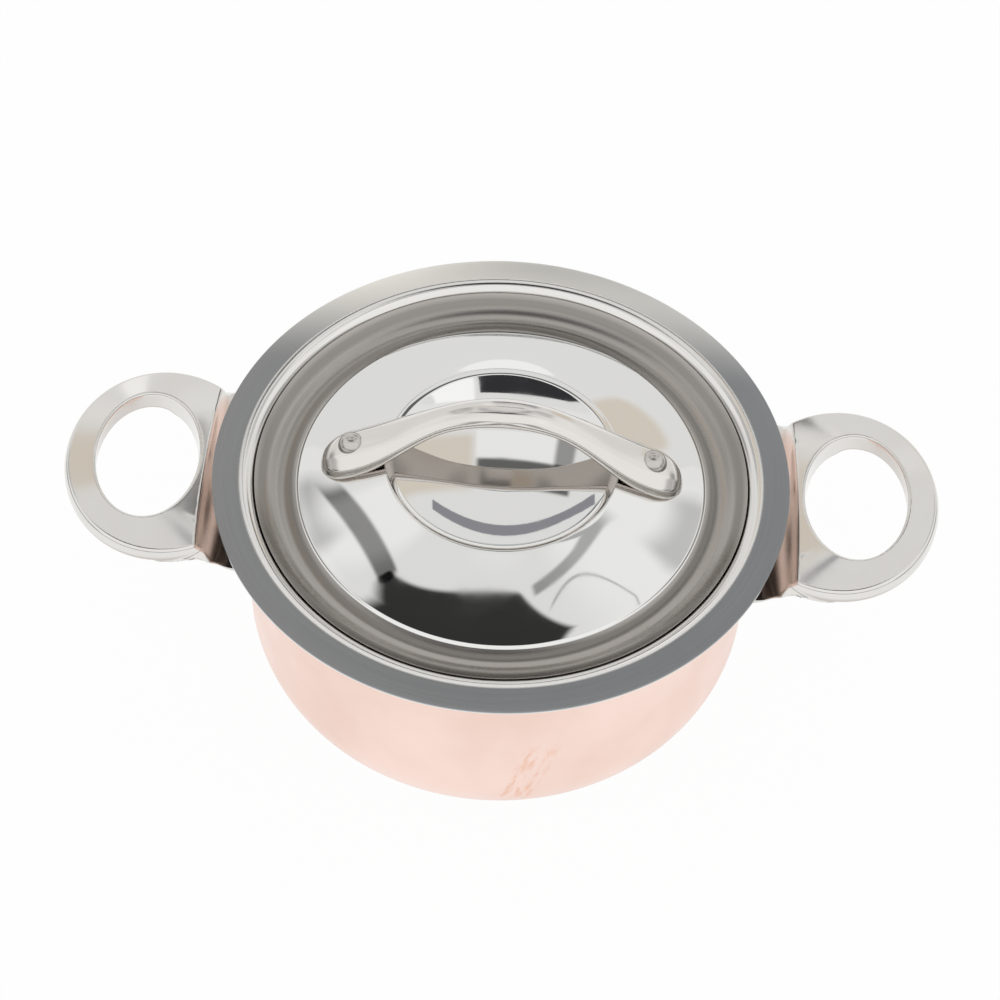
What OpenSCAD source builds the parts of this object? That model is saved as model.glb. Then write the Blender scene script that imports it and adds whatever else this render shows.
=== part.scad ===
// Copper saucepan with a steel lining, a wide flat steel rim, two cast loop
// handles and a domed lid with an arched grip.
// Millimetres, +Z up. It stands on Z = 0, its axis is Z and its handles lie along X.

/* [Pan] */
// Outer diameter of the flat steel rim
rim_d = 200; // [196:1:210]
// Height from the surface that the pan stands on to the top of the rim
pan_h = 94; // [86:1:120]
// Width by which the rim stands out past the copper wall
rim_w = 10; // [8:0.2:12]
// Radius that rounds the copper wall into the base
base_round = 31; // [18:1:40]
// Thickness of the copper shell
copper_t = 3; // [2:0.1:3.4]
// Thickness of the steel lining and of its rim
steel_t = 1.5; // [1:0.1:1.8]
// Radius that rounds the lining out into the flat rim
lip_round = 5.2; // [4.6:0.1:6.4]

/* [Loop handles] */
// Gap round the rim that the loop is hollowed out to keep clear
rim_gap = 4.1; // [3:0.1:5]
// Distance from that gap to the finger hole
bar_w = 1.7; // [1.4:0.1:4]
// Length of the finger hole, away from the pan
hole_l = 35.2; // [30:0.2:40]
// Width of the finger hole
hole_w = 54.2; // [46:0.2:58]
// Width of the loop at its far end
loop_end_w = 10.8; // [8:0.1:13]
// Width of the loop at its sides
loop_side_w = 13.6; // [10:0.1:16]
// Distance by which the widest place lies nearer the pan than the hole's middle
loop_shift = 5.6; // [2:0.2:8]
// Depth inside the wall at which the loop's outline would close
loop_bury = 8; // [5:0.5:20]
// Thickness of the loop around the finger hole
loop_t = 8.1; // [7:0.1:11]
// Fall of the upper face from the finger hole to the outer edge
loop_fall = 1.9; // [1:0.1:4]
// Depth of the middle of the loop's upper face below the top of the rim
loop_drop = 3.1; // [2:0.2:6]
// Rise of the loop away from the pan, in degrees
loop_rise = 7; // [0:0.5:9]
// Width of the foot against the wall
foot_w = 79; // [70:1:82]
// Width of its top, towards which its sides lean in
foot_top_w = 61; // [54:1:66]
// Height of the foot against the wall, below the hollow that clears the rim
foot_h = 9.7; // [8:0.1:14]
// Radius of the foot's lower corners
foot_round = 11.5; // [8:0.5:13]
// Distance past the bar over which the foot runs out under the loop
foot_run = 11.2; // [6:0.2:16]

/* [Lid] */
// Gap between the lid's edge and the rounded lip that it rests in
lid_gap = 0.2; // [0.2:0.05:0.3]
// Thickness of the lid
lid_t = 1; // [0.8:0.1:1.2]
// Depth of the underside of the lid's edge below the top of the rim
lid_drop = 3.2; // [2.8:0.1:3.3]
// Sag of the channel inside the lid's edge
channel_sag = 2.5; // [1.5:0.1:3.5]
// Width of the channel
channel_w = 14.1; // [12:0.1:18]
// Width of the step at the foot of the dome
band_w = 0.9; // [0.6:0.1:3]
// Fall across that step
band_fall = 0.8; // [0.2:0.1:1.2]
// Depth of the foot of the dome below the top of the rim
dome_drop = 5.7; // [5:0.1:7]
// Height of the upper edge of the dome above the top of the rim
dome_h = 6.6; // [4:0.1:9]
// Width of the dome's slope, from that upper edge to its foot
dome_w = 30.2; // [26:0.2:33]
// Width of the shallow groove inside it
groove_w = 2.6; // [2:0.1:5]
// Depth of that groove
groove_t = 0.4; // [0.2:0.1:0.8]
// Rise of the middle of the lid above the groove
crown_h = 3.6; // [2:0.2:6]

/* [Lid grip] */
// Distance from each end of the grip to the foot of the dome
grip_inset = 7.7; // [5:0.1:10]
// Height of the top of the grip above the top of the rim
grip_h = 33.4; // [30:0.1:40]
// Height of its upper face above the rim where the arch would run out
grip_low_h = 7; // [6:0.1:8]
// Distance past each end at which the arch would run out
grip_runout = 0.4; // [0.2:0.1:4]
// Thickness of the grip in the middle
grip_t = 5.6; // [4.4:0.1:7]
// Upright thickness of the grip at its rivets
grip_end_t = 8.9; // [8:0.1:10]
// Width of the grip in the middle
grip_w = 11.2; // [9:0.2:14]
// Width of the grip at its rivets
grip_end_w = 19.5; // [17:0.5:21]
// Length of each rounded end
grip_tip = 10; // [8:0.5:11]
// Rise of the middle of the upper face above its side edges, at the rivets
grip_crown = 0.6; // [0.3:0.1:1.2]
// The same rise half way along the grip
grip_mid_crown = 2.2; // [1.2:0.1:3]

/* [Rivets] */
// Distance from each end of the grip to its rivet
lid_rivet_inset = 13.2; // [12:0.1:15]
// Diameter of the shanks in the lid
lid_shank_d = 5; // [4:0.2:6]
// Diameter of their heads on the grip
lid_head_d = 9; // [8:0.2:11]
// Rise of those heads
lid_head_t = 3.4; // [2:0.1:3.8]
// Diameter of their tails under the lid
lid_tail_d = 8; // [7:0.2:9]
// Thickness of those tails
lid_tail_t = 1.2; // [1:0.1:2]
// Distance between the two rivets of a loop handle
pan_rivet_span = 36; // [30:1:42]
// Diameter of the shanks in the pan's wall
pan_shank_d = 4.4; // [3.6:0.2:4.8]
// Reach of the shanks into the foot
pan_shank_reach = 3.4; // [2.6:0.1:3.8]
// Diameter of their heads inside the pan
pan_head_d = 12; // [9:0.2:13]
// Rise of those heads
pan_head_t = 2.2; // [1.4:0.1:3]

/* [Hidden] */
$fn = 128;
// Overrun of every cutting shape
over = 1;
// Steps of a round stretch in an outline
arc_steps = 12;

// Radii and heights of the pan
rim_r = rim_d / 2;
wall_r = rim_r - rim_w;
inner_r = wall_r - copper_t - steel_t;
flat_r = inner_r + lip_round;
base_corner = [wall_r - base_round, base_round];
lip_centre = [flat_r, pan_h - lip_round];

// Places of the loop handle, measured from the pan's axis
hole_x = rim_r + rim_gap + bar_w + hole_l / 2;
loop_x = hole_x + hole_l / 2 + loop_end_w;
loop_mid_x = hole_x - loop_shift;
loop_top_z = pan_h - loop_drop;
loop_low_z = loop_top_z - loop_t;
loop_draw = loop_mid_x - wall_r + loop_bury;
// Land round the finger hole before the upper face starts to fall
hole_land = 1;
// Swell of the loop's rounded outer side
side_swell = 0.8;
// Share of the loop's thickness up to which the foot reaches into it
foot_top_share = 0.2;
loop_steps = 72;
side_angles = [-90, -45, 0, 45, 90];

// Scoop that keeps the foot clear of the rim
scoop_r = rim_r + rim_gap - wall_r;
scoop_z = pan_h - steel_t / 2;
foot_low_z = scoop_z - scoop_r - foot_h;
foot_drop = loop_low_z - foot_low_z;
foot_l = rim_w + rim_gap + bar_w + foot_run;
foot_curve_r = (foot_l * foot_l + foot_drop * foot_drop) / (2 * foot_drop);
// Share of the foot's height at which its rivets sit, from the top
rivet_height_share = 0.3;
pan_rivet_z = (1 - rivet_height_share) * (scoop_z - scoop_r) + rivet_height_share * foot_low_z;
pan_rivet_a = asin(pan_rivet_span / 2 / wall_r);

// Radii of the lid
seat_r = flat_r - sqrt(lip_round * lip_round - (lip_round - lid_drop) * (lip_round - lid_drop));
lid_r = seat_r - lid_gap;
band_r = lid_r - channel_w;
dome_r = band_r - band_w;
cap_r = dome_r - dome_w;
crown_r = cap_r - groove_w;
// Share of the dome's fall that bends it, the rest being straight
dome_bend_share = -0.2;
lid_steps = 10;
dome_a = atan((dome_h + dome_drop) / (dome_r - cap_r));

// Grip: half lengths, and shares that shape its section
grip_half = dome_r - grip_inset;
grip_run = grip_half + grip_runout;
grip_tip_x = grip_half - grip_tip;
rivet_x = grip_half - lid_rivet_inset;
grip_arch_power = 1.12;
// Share of the section's width that the upper face takes: at the rivets, half way along
grip_top_share = 0.74;
grip_mid_top_share = 0.96;
grip_mid_power = 1.5;
grip_base_share = 0.9;
// Places up each side: share of the way in to the upper face's edge, share of the height
grip_side_shares = [[0, 0.25], [0.15, 0.6]];
// Stretch over which the grip widens and thickens, as shares of the way to its rivets
grip_swell_shares = [0.36, 1];
// Last section of each rounded end, as a share of the grip's half length
grip_last_share = 0.9985;
grip_steps = 26;
// Depth of the flat seat under each rivet head
spot_t = 0.4;

// Points of an arc of radius r round c, from angle a to angle b
function arc(c, r, a, b) =
    [for (i = [0:arc_steps]) let (t = a + (b - a) * i / arc_steps) c + r * [cos(t), sin(t)]];

// Points of an oval round c, with its own half length on the +X side and on the -X side
function oval(c, out, back, side) =
    [for (i = [0:loop_steps - 1]) let (a = 360 * i / loop_steps)
        c + [(cos(a) > 0 ? out : back) * cos(a), side * sin(a)]];

// Radius of the sphere whose cap has this width and rise
function cap_sphere(width, rise) = (width * width / 4 + rise * rise) / (2 * rise);

// Two triangles between ring points i and i + 1 of a loft
function panel(base, n, i) =
    let (a = base + i, b = base + (i + 1) % n) [[a, a + n, b + n], [a, b + n, b]];

// Closed solid through rings that have as many points each
module loft(rings) {
    n = len(rings[0]);
    m = len(rings);
    polyhedron(points = [for (ring = rings) each ring], faces = concat(
        [[for (i = [0:n - 1]) i]],
        [for (k = [0:m - 2]) for (i = [0:n - 1]) each panel(k * n, n, i)],
        [[for (i = [n - 1:-1:0]) (m - 1) * n + i]]));
}

// Domed rivet head that stands on Z = 0
module domed_head(d, t) {
    r = cap_sphere(d, t);
    intersection() {
        translate([0, 0, t - r]) sphere(r);
        cylinder(d = d, h = t);
    }
}

// The pan's shape at a depth inside the outside of the copper, up to the lip
function bowl(depth) = concat(
    [[0, depth]],
    arc(base_corner, base_round - depth, -90, 0),
    arc(lip_centre, lip_round - copper_t - steel_t + depth, 180, 90));

module liner_outside() {
    rotate_extrude() polygon(concat(bowl(copper_t),
        [[rim_r, pan_h - steel_t], [rim_r, pan_h], [0, pan_h]]));
}

module liner_blank() {
    difference() {
        liner_outside();
        rotate_extrude() polygon(concat(bowl(copper_t + steel_t),
            [[flat_r, pan_h + over], [0, pan_h + over]]));
    }
}

// Puts its children at each rivet of the right handle, Z pointing out of the pan
module at_pan_rivets() {
    for (side = [-1, 1])
        rotate([0, 0, side * pan_rivet_a]) translate([0, 0, pan_rivet_z])
            rotate([0, 90, 0]) children();
}

module pan_shanks() {
    at_pan_rivets() cylinder(d = pan_shank_d, h = wall_r + pan_shank_reach);
}

module pan_rivet_holes() {
    pan_shanks();
    rotate([0, 0, 180]) pan_shanks();
}

module copper_body() {
    color([0.87, 0.62, 0.52]) difference() {
        rotate_extrude() polygon(concat([[0, 0]], arc(base_corner, base_round, -90, 0),
            [[wall_r, pan_h - steel_t], [0, pan_h - steel_t]]));
        liner_outside();
        pan_rivet_holes();
    }
}

module steel_liner() {
    color([0.6, 0.61, 0.63]) difference() {
        liner_blank();
        pan_rivet_holes();
    }
}

// Both rivets of the right handle, with their heads against the lining
module pan_rivet_pair() {
    difference() {
        union() {
            intersection() {
                pan_shanks();
                translate([inner_r - pan_head_t, -wall_r, 0]) cube([wall_r, 2 * wall_r, pan_h]);
            }
            at_pan_rivets() translate([0, 0, inner_r]) {
                rotate([180, 0, 0]) domed_head(pan_head_d, pan_head_t);
                cylinder(d = pan_head_d, h = steel_t / 2);
            }
        }
        difference() {
            liner_blank();
            pan_shanks();
        }
    }
}

// Rings of the loop: its rounded outer side, then the upper face up to the hole
function loop_rings() =
    let (rim = oval([loop_mid_x, 0], loop_x - loop_mid_x, loop_draw, hole_w / 2 + loop_side_w),
        hole = oval([hole_x, 0], hole_l / 2, hole_l / 2, hole_w / 2),
        ways = [for (i = [0:loop_steps - 1]) (rim[i] - hole[i]) / norm(rim[i] - hole[i])],
        side_h = loop_t - loop_fall)
    concat(
        [for (a = side_angles) [for (i = [0:loop_steps - 1])
            let (p = rim[i] - side_swell * (1 - cos(a)) * ways[i])
                [p[0] - hole_x, p[1], side_h * (1 + sin(a)) / 2 - loop_t]]],
        [[for (i = [0:loop_steps - 1])
            let (p = hole[i] + hole_land * ways[i]) [p[0] - hole_x, p[1], 0]]]);

// Foot of the handle, its underside curving down towards the wall
module foot() {
    mid_z = loop_low_z + loop_t * foot_top_share;
    half = foot_w / 2;
    end_a = acos(1 - foot_drop / foot_curve_r);
    intersection() {
        rotate_extrude() polygon(concat(
            [[inner_r, mid_z], [inner_r, foot_low_z]],
            arc([wall_r + foot_l, loop_low_z - foot_curve_r], foot_curve_r, 90 + end_a, 90),
            [[wall_r + foot_l, mid_z]]));
        rotate([90, 0, 90]) linear_extrude(wall_r + foot_l + over) polygon(concat(
            arc([-half + foot_round, foot_low_z + foot_round], foot_round, 180, 270),
            arc([half - foot_round, foot_low_z + foot_round], foot_round, 270, 360),
            [[foot_top_w / 2, mid_z], [-foot_top_w / 2, mid_z]]));
    }
}

module handle() {
    difference() {
        union() {
            translate([hole_x, 0, loop_top_z]) rotate([0, -loop_rise, 0]) loft(loop_rings());
            foot();
        }
        translate([hole_x, 0, loop_top_z]) rotate([0, -loop_rise, 0])
            translate([0, 0, -foot_drop - loop_t]) linear_extrude(2 * loop_t + foot_drop)
                polygon(oval([0, 0], hole_l / 2, hole_l / 2, hole_w / 2));
        translate([0, loop_x, 0]) rotate([90, 0, 0]) linear_extrude(2 * loop_x) polygon(concat(
            [[0, pan_h + over], [0, scoop_z - scoop_r]],
            arc([wall_r, scoop_z], scoop_r, -90, 0),
            [[wall_r + scoop_r, pan_h + over]]));
        cylinder(r = wall_r, h = pan_h + over);
        pan_shanks();
    }
}

module right_handle() {
    color([0.78, 0.78, 0.77]) handle();
}

module left_handle() {
    color([0.76, 0.76, 0.75]) rotate([0, 0, 180]) handle();
}

module right_handle_rivets() {
    color([0.7, 0.7, 0.7]) pan_rivet_pair();
}

module left_handle_rivets() {
    color([0.68, 0.68, 0.68]) rotate([0, 0, 180]) pan_rivet_pair();
}

// Height of the lid's upper face at radius r, measured from the top of the rim
function lid_face(r) =
    r <= crown_r ? dome_h - groove_t + crown_h * (1 - r * r / (crown_r * crown_r)) :
    r <= cap_r ? groove_face((r - crown_r) / groove_w) :
    r <= dome_r ? dome_face((r - cap_r) / (dome_r - cap_r)) :
    r <= band_r ? band_face((r - dome_r) / band_w) :
    channel_face((r - band_r) / channel_w);
function groove_face(t) = dome_h - groove_t * (1 - t * t);
function dome_face(t) = dome_h - (dome_h + dome_drop) * (t + dome_bend_share * t * (t - 1));
function band_face(t) = -dome_drop - band_fall * t * (2 - t);
function channel_face(t) =
    let (low = dome_drop + band_fall) -low + (low + lid_t - lid_drop) * t - 4 * channel_sag * t * (1 - t);

// Radii at which the lid's outline has points
function span_radii(a, b) = [for (i = [0:lid_steps - 1]) a + (b - a) * i / lid_steps];
lid_radii = concat(span_radii(0, crown_r), span_radii(crown_r, cap_r), span_radii(cap_r, dome_r),
    span_radii(dome_r, band_r), span_radii(band_r, lid_r), [lid_r]);

module lid_blank() {
    rotate_extrude() polygon([
        for (r = lid_radii) [r, pan_h + lid_face(r)],
        for (i = [len(lid_radii) - 1:-1:0]) [lid_radii[i], pan_h + lid_face(lid_radii[i]) - lid_t]]);
}

// Everything below the lid's upper face
module under_lid() {
    rotate_extrude() polygon([
        for (r = lid_radii) [r, pan_h + lid_face(r)],
        [lid_r, 0], [0, 0]]);
}

// Puts its children at each rivet of the lid, Z square to the dome
module at_lid_rivets() {
    for (turn = [0, 180])
        rotate([0, 0, turn]) translate([rivet_x, 0, pan_h + lid_face(rivet_x)])
            rotate([0, dome_a, 0]) children();
}

// Distance from the dome to the seat of the rivet heads
head_seat = (grip_face(rivet_x) - lid_face(rivet_x)) * cos(dome_a) - spot_t;

// Shanks of the lid's rivets, or the holes for them, up to a height above the dome
module lid_shanks(top = head_seat) {
    at_lid_rivets() translate([0, 0, -lid_t - lid_tail_t])
        cylinder(d = lid_shank_d, h = lid_t + lid_tail_t + top);
}

module lid() {
    color([0.72, 0.72, 0.7]) difference() {
        lid_blank();
        lid_shanks();
    }
}

// Height of the grip's upper face at distance x from the middle, without its rounded ends
function grip_face(x) = grip_low_h + (grip_h - grip_low_h) *
    (1 + cos(180 * pow(x / grip_run, grip_arch_power))) / 2;
// How far the grip has swollen towards its full size at the rivets
function swell(x) =
    let (a = grip_swell_shares[0], b = grip_swell_shares[1],
        t = min(max((x / rivet_x - a) / (b - a), 0), 1)) t * t * (3 - 2 * t);
function grip_thick(x) = grip_t + (grip_end_t - grip_t) * swell(x);
function grip_width(x) = grip_w + (grip_end_w - grip_w) * swell(x);
// How much the section at x is like the one half way along
function mid_share(x) = pow(max(1 - x / rivet_x, 0), grip_mid_power);
// Share of its full size that the grip keeps within its rounded ends
function tip_share(x) = x < grip_tip_x ? 1 : sqrt(1 - pow((x - grip_tip_x) / grip_tip, 2));

// Section of the grip at x, seen from +X and going round anticlockwise
function grip_ring(x) =
    let (d = abs(x), e = tip_share(d), half = grip_width(d) * e / 2, seat = lid_face(d), mid = mid_share(d),
        top = d < grip_tip_x ? grip_face(d) : seat + (grip_face(d) - seat) * e,
        low = d < rivet_x ? grip_face(d) - grip_thick(d) : min(grip_face(d) - grip_end_t, seat - lid_t),
        crown = (grip_crown + (grip_mid_crown - grip_crown) * mid) * e,
        share = grip_top_share + (grip_mid_top_share - grip_top_share) * mid,
        right = [[half * grip_base_share, low],
            for (s = grip_side_shares) [half * (1 - (1 - share) * s[0]), low + (top - crown - low) * s[1]],
            [half * share, top - crown],
            [half * share / 2, top - crown / 4]])
    concat([for (p = right) [x, p[0], pan_h + p[1]]], [[x, 0, pan_h + top]],
        [for (i = [len(right) - 1:-1:0]) [x, -right[i][0], pan_h + right[i][1]]]);

module lid_grip() {
    color([0.8, 0.8, 0.79]) difference() {
        loft([for (i = [-grip_steps:grip_steps])
            grip_ring(grip_last_share * grip_half * sin(90 * i / grip_steps))]);
        under_lid();
        lid_shanks(grip_end_t);
        at_lid_rivets() translate([0, 0, head_seat]) cylinder(d = lid_head_d, h = grip_end_t);
    }
}

module lid_rivets() {
    color([0.66, 0.66, 0.65]) {
        at_lid_rivets() {
            translate([0, 0, -lid_t / 2]) cylinder(d = lid_shank_d, h = lid_t / 2 + head_seat);
            translate([0, 0, head_seat]) domed_head(lid_head_d, lid_head_t);
        }
        difference() {
            at_lid_rivets() translate([0, 0, -lid_t - lid_tail_t]) {
                cylinder(d = lid_tail_d, h = lid_t / 2 + lid_tail_t);
                cylinder(d = lid_shank_d, h = lid_t + lid_tail_t);
            }
            difference() {
                lid_blank();
                lid_shanks();
            }
        }
    }
}

copper_body();
steel_liner();
right_handle();
left_handle();
right_handle_rivets();
left_handle_rivets();
lid();
lid_grip();
lid_rivets();
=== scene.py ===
"""Dressed model of a lidded copper saucepan with two cast loop handles.

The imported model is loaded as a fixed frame. Each of its nodes is replaced by a
finely built piece of the same shape, with rounded edges and a finish of its own,
and the pieces ride on the bodies of the frame. Lengths in the dataclasses are in
millimetres, measured from the middle of the base, where their docstring doesn't
say otherwise, and the meshes are in metres.
"""
import logging
import math
from dataclasses import dataclass
from enum import Enum
from typing import Callable, Optional, Sequence, Union

import bpy
import numpy as np
from mathutils import Matrix, Vector


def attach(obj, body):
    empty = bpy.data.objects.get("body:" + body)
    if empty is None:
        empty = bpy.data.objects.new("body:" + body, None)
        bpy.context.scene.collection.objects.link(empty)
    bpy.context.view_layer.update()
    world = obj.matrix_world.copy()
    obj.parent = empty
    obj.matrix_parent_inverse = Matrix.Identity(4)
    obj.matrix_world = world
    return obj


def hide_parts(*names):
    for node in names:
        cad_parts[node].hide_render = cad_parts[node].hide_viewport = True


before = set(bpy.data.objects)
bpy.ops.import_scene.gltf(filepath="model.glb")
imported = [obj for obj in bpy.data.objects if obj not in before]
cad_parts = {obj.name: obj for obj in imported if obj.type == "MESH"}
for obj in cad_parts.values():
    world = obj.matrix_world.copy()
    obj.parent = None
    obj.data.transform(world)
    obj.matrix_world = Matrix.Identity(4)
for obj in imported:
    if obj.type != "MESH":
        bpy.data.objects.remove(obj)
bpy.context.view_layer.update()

LOG = logging.getLogger("saucepan")
MM = 0.001
TINY = 1e-9
DEGREES = 180 / math.pi
Number = Union[int, float]
Array = np.ndarray
Colour = tuple[float, float, float]
WHITE: Colour = (1.0, 1.0, 1.0)
# Where something begins and where it is full
Fade = tuple[float, float]
# Low end, high end and the width over which each end fades
Band = tuple[float, float, float]


class Body(Enum):
    """Bodies of the frame that the pieces ride on."""

    PAN = "pan"
    LID = "lid_body"


class Slot(Enum):
    """Names of the material slots."""

    COPPER = "copper"
    LINING = "lining_steel"
    CAST = "cast_steel"
    RIVET = "rivet_steel"
    LID = "lid_steel"


class Ray(Enum):
    """Kinds of rays that a surface can tell apart."""

    CAMERA = "Is Camera Ray"
    GLOSSY = "Is Glossy Ray"


# Shader graphs


def maths(operation: str, turned: bool = False) -> Callable[["Value", "Term"], "Value"]:
    """Makes a method of Value that adds a Math node on the value and another term.

    Args:
        operation: Blender's name of the operation.
        turned: Whether the other term comes first, as in a reflected operator.

    Returns:
        The method.
    """
    def method(self: "Value", other: "Term") -> "Value":
        """Adds the node."""
        terms = (other, self) if turned else (self, other)
        return self.graph.node("ShaderNodeMath", {"operation": operation}, dict(enumerate(terms)))
    return method


class Value:
    """A shader socket that takes Python's operators as Math nodes."""

    def __init__(self, graph: "Graph", socket: bpy.types.NodeSocket) -> None:
        """Wraps the socket of a node in a graph."""
        self.graph = graph
        self.socket = socket

    __add__, __radd__ = maths("ADD"), maths("ADD", True)
    __sub__, __rsub__ = maths("SUBTRACT"), maths("SUBTRACT", True)
    __mul__, __rmul__ = maths("MULTIPLY"), maths("MULTIPLY", True)
    __truediv__, __rtruediv__ = maths("DIVIDE"), maths("DIVIDE", True)
    __pow__, __rpow__ = maths("POWER"), maths("POWER", True)
    # The larger of the two
    most = maths("MAXIMUM")
    # Angle whose tangent is this value over the other one
    angle_to = maths("ARCTAN2")

    def arcsine(self) -> "Value":
        """Angle whose sine is this value."""
        return self.graph.node("ShaderNodeMath", {"operation": "ARCSINE"}, {0: self})

    def swing(self, size: Number) -> "Value":
        """A value between 0 and 1 as a swing about 0, of that size from end to end."""
        return (self - 0.5) * size

    def step(self, low: Number, high: Number) -> "Value":
        """Smooth step from 0 at low to 1 at high.

        Args:
            low: Value that gives 0.
            high: Value that gives 1; it may be the smaller one.

        Returns:
            The step, between 0 and 1.
        """
        if low > high:
            return 1 - self.step(high, low)
        settings = {"interpolation_type": "SMOOTHSTEP", "clamp": True}
        values = {"Value": self, "From Min": low, "From Max": high}
        return self.graph.node("ShaderNodeMapRange", settings, values)

    def band(self, low: Number, high: Number, soft: Number) -> "Value":
        """One between two values, and zero outside them.

        Args:
            low: Lower end of the band.
            high: Upper end of the band.
            soft: Width over which each end fades.

        Returns:
            The mask, between 0 and 1.
        """
        rise = self.step(low - soft / 2, low + soft / 2)
        return rise * self.step(high + soft / 2, high - soft / 2)


Term = Union[Value, Number]
Input = Union[Value, Number, Sequence[Number]]


class Graph:
    """Node graph of a material or of the world."""

    # Sockets of a Mix node that mixes colours
    MIX_SHARE, MIX_LOW, MIX_HIGH, MIX_RESULT = 0, 6, 7, 2

    def __init__(self, owner: Union[bpy.types.Material, bpy.types.World]) -> None:
        """Clears the owner's nodes."""
        owner.use_nodes = True
        self.owner = owner
        self.tree = owner.node_tree
        self.tree.nodes.clear()

    def node(self, kind: str, settings: Optional[dict] = None,
             values: Optional[dict] = None, output: Union[int, str] = 0) -> Value:
        """Adds a node.

        Args:
            kind: Blender's name of the node's type.
            settings: Properties to set first, such as a Math node's operation.
            values: Socket values or links by the socket's name or number.
            output: Socket that is handed back.

        Returns:
            The chosen output, or a value without a socket if the node has none.
        """
        made = self.tree.nodes.new(kind)
        for key, setting in (settings or {}).items():
            setattr(made, key, setting)
        for key, value in (values or {}).items():
            socket = made.inputs[key]
            if isinstance(value, Value):
                self.tree.links.new(value.socket, socket)
            elif socket.type == "RGBA":
                socket.default_value = (*value, 1.0)
            else:
                socket.default_value = value
        return Value(self, made.outputs[output] if made.outputs else None)

    def place(self) -> Value:
        """Place on the object, in metres from the middle of the base."""
        return self.node("ShaderNodeTexCoord", output="Object")

    def ray(self, kind: Ray) -> Value:
        """One for rays of that kind, zero for others."""
        return self.node("ShaderNodeLightPath", output=kind.value)

    def split(self, vector: Value) -> tuple:
        """The three parts of a vector."""
        parts = self.node("ShaderNodeSeparateXYZ", values={0: vector}).socket.node
        return tuple(Value(self, output) for output in parts.outputs)

    def vector(self, x: Term, y: Term, z: Term) -> Value:
        """A vector from three values."""
        return self.node("ShaderNodeCombineXYZ", values={0: x, 1: y, 2: z})

    def mix(self, share: Term, low: Input, high: Input) -> Value:
        """Mixes two colours.

        Args:
            share: Share of the second colour.
            low: Colour at share 0.
            high: Colour at share 1.

        Returns:
            The mixed colour.
        """
        values = {self.MIX_SHARE: share, self.MIX_LOW: low, self.MIX_HIGH: high}
        return self.node("ShaderNodeMix", {"data_type": "RGBA"}, values, self.MIX_RESULT)

    def scaled(self, colour: Value, share: Term) -> Value:
        """A colour times a number."""
        return self.node("ShaderNodeVectorMath", {"operation": "SCALE"}, {0: colour, "Scale": share})

    def noise(self, where: Value, scale: Number, detail: Number, rough: Number) -> Value:
        """Noise between 0 and 1.

        Args:
            where: Place to read it at.
            scale: How fine it is.
            detail: How many finer layers it has.
            rough: Strength of the finer layers.

        Returns:
            The noise.
        """
        values = {"Vector": where, "Scale": scale, "Detail": detail, "Roughness": rough}
        return self.node("ShaderNodeTexNoise", values=values, output="Fac")

    def bump(self, height: Value, metres: Number, strength: Number) -> Value:
        """Normal of a relief.

        Args:
            height: Height, between 0 and 1.
            metres: Real height of the relief.
            strength: Share of the relief that shows.

        Returns:
            The normal.
        """
        values = {"Strength": strength, "Distance": metres, "Height": height}
        return self.node("ShaderNodeBump", values=values)


# Finishes


@dataclass(frozen=True)
class Metal:
    """A metal finish. Places and reliefs in finishes are in metres, as shaders have them."""

    name: str
    colour: Colour
    roughness: float
    anisotropic: float = 0.0
    ring_waves: float = 1.5

    def graph(self) -> Graph:
        """Starts the finish's material."""
        return Graph(bpy.data.materials.new(self.name))

    def close(self, graph: Graph, **links: Input) -> bpy.types.Material:
        """Adds the shader and the output.

        Args:
            graph: The finish's graph.
            links: Shader sockets by name, with _ for a space.

        Returns:
            The material.
        """
        values = {"Base Color": self.colour, "Metallic": 1.0, "Roughness": self.roughness,
                  "Anisotropic": self.anisotropic}
        values.update({key.replace("_", " "): value for key, value in links.items()})
        shader = graph.node("ShaderNodeBsdfPrincipled", values=values)
        graph.node("ShaderNodeOutputMaterial", values={"Surface": shader})
        return graph.owner

    def rings(self, graph: Graph, fine: Number) -> tuple:
        """Grain that runs in circles round the pan's axis.

        Args:
            graph: The finish's graph.
            fine: Rings per metre of radius.

        Returns:
            The grain between 0 and 1, the radius, and the place's three parts.
        """
        x, y, z = graph.split(graph.place())
        radius = (x * x + y * y) ** 0.5
        where = graph.vector(radius * fine, y.angle_to(x) * self.ring_waves, z * fine)
        return graph.noise(where, scale=1.0, detail=3.0, rough=0.6), radius, (x, y, z)

    def make(self) -> bpy.types.Material:
        """Builds the material."""
        raise NotImplementedError


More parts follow.
